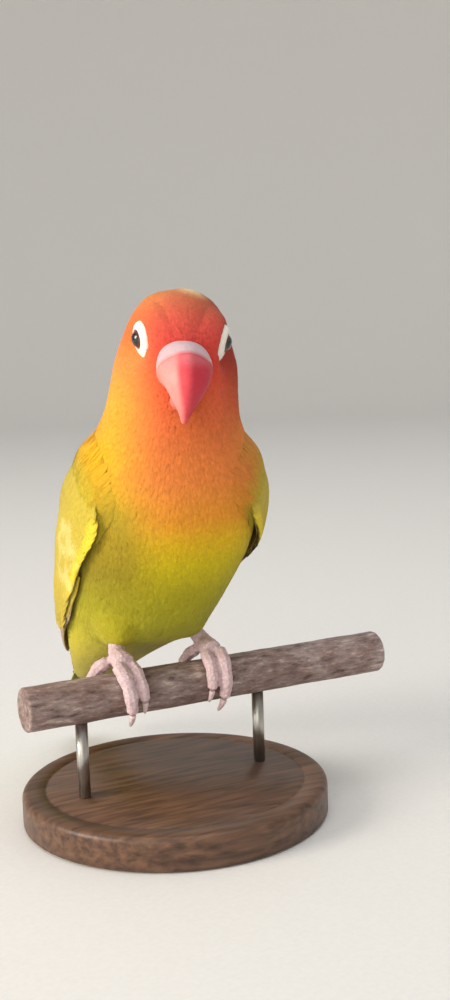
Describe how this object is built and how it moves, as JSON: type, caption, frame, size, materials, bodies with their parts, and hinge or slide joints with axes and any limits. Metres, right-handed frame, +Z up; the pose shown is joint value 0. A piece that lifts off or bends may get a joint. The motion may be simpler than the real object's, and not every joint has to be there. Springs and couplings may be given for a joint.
{
  "type": "white eye-ringed lovebird, life-size still model on a stand",
  "caption": "Life-size still model of a small short-tailed parrot with a hooked bill and bare white eye rings, perched upright on a cut length of wooden perch held by a round stand.",
  "frame": {"origin": "centre of the flat underside of the stand's base", "axes": "+Z up, the bird's breast faces -Y with its tail towards +Y, +X to the bird's left, along the perch"},
  "size_m": [0.098, 0.1067, 0.1288],
  "materials": {
    "feathers_head": "short soft feathers, matt with a faint silky sheen",
    "feathers_neck": "short soft feathers, matt with a faint silky sheen",
    "feathers_body": "short soft feathers, matt with a faint silky sheen",
    "feathers_wing": "overlapping vanes, slightly silky",
    "feathers_tail": "overlapping vanes, slightly silky",
    "bill_horn": "smooth horn, semi-gloss",
    "cere_skin": "bare fine-grained skin, satin",
    "eye": "wet and glossy",
    "eye_ring_skin": "bare fine-grained skin, satin",
    "foot_skin": "fine scales, satin",
    "claw_horn": "smooth horn, satin",
    "perch_wood": "weathered, rough along the grain",
    "stand_rod_steel": "brushed",
    "stand_base_wood": "dark stained, satin"
  },
  "bodies": {
    "root": {"bill_lower": "bill_horn", "bill_upper": "bill_horn", "cere": "cere_skin", "claw_left_inner_front": "claw_horn", "claw_left_inner_rear": "claw_horn", "claw_left_outer_front": "claw_horn", "claw_left_outer_rear": "claw_horn", "claw_right_inner_front": "claw_horn", "claw_right_inner_rear": "claw_horn", "claw_right_outer_front": "claw_horn", "claw_right_outer_rear": "claw_horn", "eye_left": "eye", "eye_right": "eye", "eye_ring_left": "eye_ring_skin", "eye_ring_right": "eye_ring_skin", "head": "feathers_head", "neck": "feathers_neck", "perch": "perch_wood", "shank_left": "foot_skin", "shank_right": "foot_skin", "stand_base": "stand_base_wood", "stand_rod_left": "stand_rod_steel", "stand_rod_right": "stand_rod_steel", "tail": "feathers_tail", "thigh_left": "feathers_body", "thigh_right": "feathers_body", "toe_left_inner_front": "foot_skin", "toe_left_inner_rear": "foot_skin", "toe_left_outer_front": "foot_skin", "toe_left_outer_rear": "foot_skin", "toe_right_inner_front": "foot_skin", "toe_right_inner_rear": "foot_skin", "toe_right_outer_front": "foot_skin", "toe_right_outer_rear": "foot_skin", "torso": "feathers_body", "wing_left": "feathers_wing", "wing_right": "feathers_wing"}
  },
  "joints": []
}
